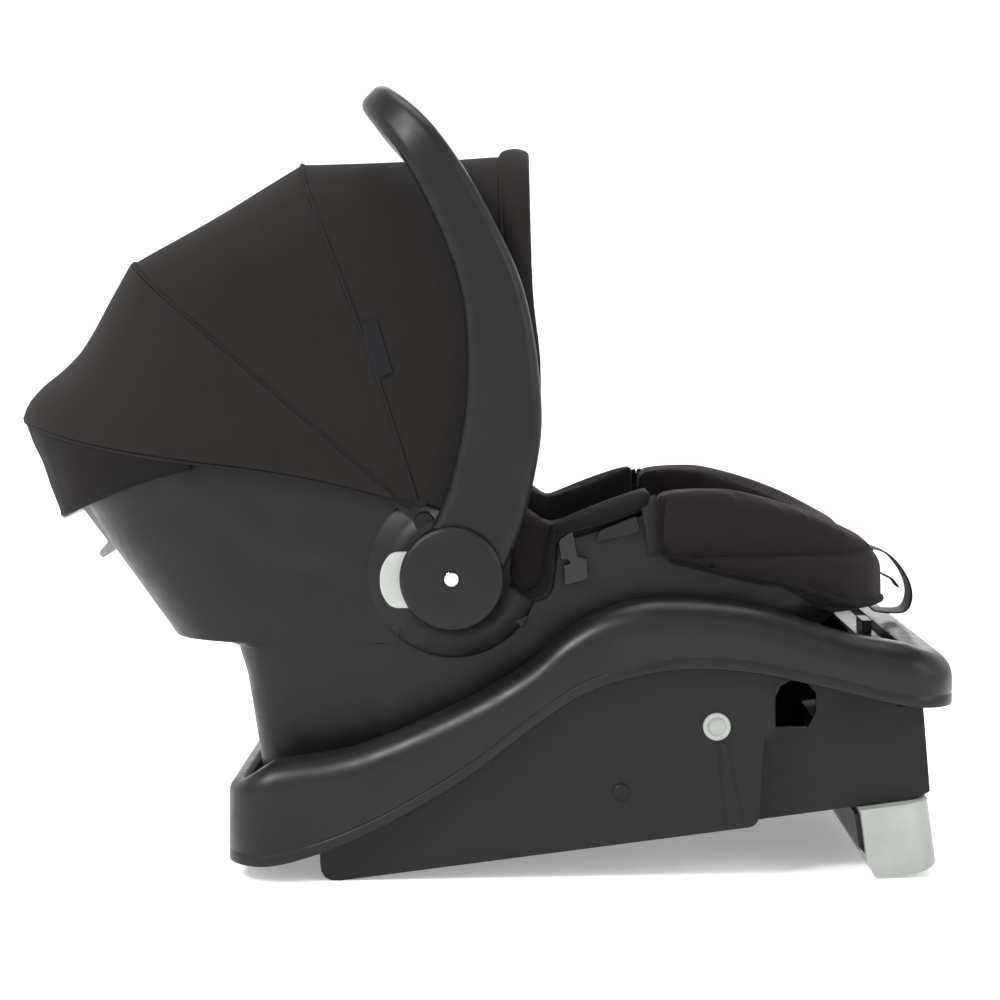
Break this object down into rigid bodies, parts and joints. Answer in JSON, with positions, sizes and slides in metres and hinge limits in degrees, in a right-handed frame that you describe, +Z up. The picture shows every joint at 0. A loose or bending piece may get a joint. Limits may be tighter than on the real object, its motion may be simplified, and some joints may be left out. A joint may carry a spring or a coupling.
{
  "type": "infant car seat with base",
  "caption": "Rear-facing infant carrier with swing handle, folding canopy and harness, latched on its vehicle base with recline foot.",
  "frame": {"origin": "bounding box bottom centre, on the plane the base stands on", "axes": "+X towards the feet end, +Y towards the child's left, +Z up"},
  "size_m": [0.7398, 0.4372, 0.603],
  "materials": {
    "base_plastic": "fine moulded grain",
    "tray_plastic": "fine moulded grain",
    "shell_plastic": "fine moulded grain, satin",
    "black_plastic": "satin",
    "gloss_plastic": "polished",
    "grey_plastic": "satin",
    "pale_plastic": "satin",
    "red_plastic": "satin gloss",
    "foam": "moulded beads",
    "canopy_fabric": "plain weave, matt",
    "pad_fabric": "brushed knit, padded",
    "webbing": "woven webbing",
    "tag_fabric": "blank woven tag",
    "steel": "zinc plated",
    "chrome": "polished",
    "window": "clear over a pale field"
  },
  "bodies": {
    "base": {"base_rim": "base_plastic", "base_tray": "tray_plastic", "latch_rod_front": "steel", "latch_rod_rear": "steel", "anchor_rod": "steel", "anchor_cap_left": "grey_plastic", "anchor_cap_right": "grey_plastic", "level_bezel": "black_plastic", "level_window": "window"},
    "foot": {"recline_foot": "grey_plastic"},
    "foot_lock": {"foot_lock_button": "grey_plastic"},
    "carrier": {"carrier_shell": "shell_plastic", "lock_gear_left": "pale_plastic", "lock_gear_right": "pale_plastic", "canopy_stud_left": "black_plastic", "canopy_stud_right": "black_plastic", "front_hooks": "steel", "foam_liner": "foam", "back_cushion": "pad_fabric", "seat_cushion": "pad_fabric", "foot_pad": "pad_fabric", "side_wing_left": "pad_fabric", "side_wing_right": "pad_fabric", "belt_hook_left": "gloss_plastic", "belt_hook_right": "gloss_plastic", "belt_guide_left": "black_plastic", "belt_guide_right": "black_plastic", "shoulder_strap_left": "webbing", "shoulder_strap_right": "webbing", "lap_strap_left": "webbing", "lap_strap_right": "webbing", "crotch_strap": "webbing", "buckle_body": "black_plastic", "buckle_tongue_left": "steel", "buckle_tongue_right": "steel", "chest_clip": "black_plastic", "adjuster_housing": "black_plastic", "adjuster_strap": "webbing", "pivot_rivet_left": "chrome", "pivot_rivet_right": "chrome", "canopy_panel_rear": "canopy_fabric", "canopy_back_elastic": "canopy_fabric"},
    "handle": {"handle_frame": "shell_plastic", "handle_grip": "black_plastic", "hub_cover_left": "shell_plastic", "hub_cover_right": "shell_plastic"},
    "handle_tab_left": {"release_tab_left": "pale_plastic"},
    "handle_tab_right": {"release_tab_right": "pale_plastic"},
    "canopy_rear": {"canopy_bow_rear": "black_plastic"},
    "canopy_mid": {"canopy_bow_mid": "black_plastic", "canopy_panel_mid": "canopy_fabric", "canopy_tag": "tag_fabric"},
    "canopy_front": {"canopy_bow_front": "black_plastic", "canopy_panel_front": "canopy_fabric", "canopy_visor": "canopy_fabric"},
    "latch_jaw": {"latch_jaw": "steel"},
    "release_lever": {"release_lever": "grey_plastic"},
    "buckle_button": {"buckle_button": "red_plastic"},
    "adjuster_button": {"adjuster_button": "grey_plastic"}
  },
  "joints": [
    {"name": "carrier_lift", "type": "slide", "parent": "base", "child": "carrier", "axis": [0, 0, 1], "range_m": [0, 0.25]},
    {"name": "foot_slide", "type": "slide", "parent": "base", "child": "foot", "axis": [-0.1323, 0, 0.9912], "range_m": [0, 0.04]},
    {"name": "foot_lock_press", "type": "slide", "parent": "base", "child": "foot_lock", "axis": [-0.9912, 0, -0.1323], "range_m": [0, 0.004], "stiffness_N_per_m": 600},
    {"name": "handle_swing", "type": "hinge", "parent": "carrier", "child": "handle", "pos_m": [-0.00708, 0, 0.233], "axis": [0, 1, 0], "range_deg": [-55, 60], "deforming": ["canopy_panel_rear", "canopy_back_elastic", "canopy_panel_mid"]},
    {"name": "handle_tab_left_press", "type": "slide", "parent": "handle", "child": "handle_tab_left", "axis": [1, 0, 0], "range_m": [0, 0.007], "stiffness_N_per_m": 500},
    {"name": "handle_tab_right_press", "type": "slide", "parent": "handle", "child": "handle_tab_right", "axis": [1, 0, 0], "range_m": [0, 0.007], "stiffness_N_per_m": 500},
    {"name": "canopy_rear_swing", "type": "hinge", "parent": "carrier", "child": "canopy_rear", "pos_m": [-0.02908, 0, 0.272], "axis": [0, 1, 0], "range_deg": [-15, 0], "deforming": ["canopy_panel_rear", "canopy_back_elastic"]},
    {"name": "canopy_mid_swing", "type": "hinge", "parent": "canopy_rear", "child": "canopy_mid", "pos_m": [-0.02908, 0, 0.272], "axis": [0, 1, 0], "range_deg": [-22, 0], "deforming": ["canopy_panel_mid"]},
    {"name": "canopy_front_swing", "type": "hinge", "parent": "canopy_mid", "child": "canopy_front", "pos_m": [-0.02908, 0, 0.272], "axis": [0, 1, 0], "range_deg": [-22, 0], "deforming": ["canopy_panel_front"]},
    {"name": "release_lever_pull", "type": "hinge", "parent": "carrier", "child": "release_lever", "pos_m": [-0.31708, 0, 0.279], "axis": [0, 1, 0], "range_deg": [0, 18], "stiffness_Nm_per_rad": 2},
    {"name": "latch_jaw_swing", "type": "hinge", "parent": "carrier", "child": "latch_jaw", "pos_m": [-0.08308, 0, 0.096], "axis": [0, 1, 0], "range_deg": [-16, 0], "stiffness_Nm_per_rad": 0.5},
    {"name": "buckle_press", "type": "slide", "parent": "carrier", "child": "buckle_button", "axis": [-1, 0, 0], "range_m": [0, 0.0025], "stiffness_N_per_m": 1500},
    {"name": "adjuster_press", "type": "slide", "parent": "carrier", "child": "adjuster_button", "axis": [0, 0, -1], "range_m": [0, 0.002], "stiffness_N_per_m": 1500}
  ],
  "couplings": [
    {"joint": "canopy_mid_swing", "follows": "canopy_rear_swing", "ratio": 1.46},
    {"joint": "canopy_front_swing", "follows": "canopy_rear_swing", "ratio": 1.46},
    {"joint": "latch_jaw_swing", "follows": "release_lever_pull", "ratio": -0.88}
  ]
}
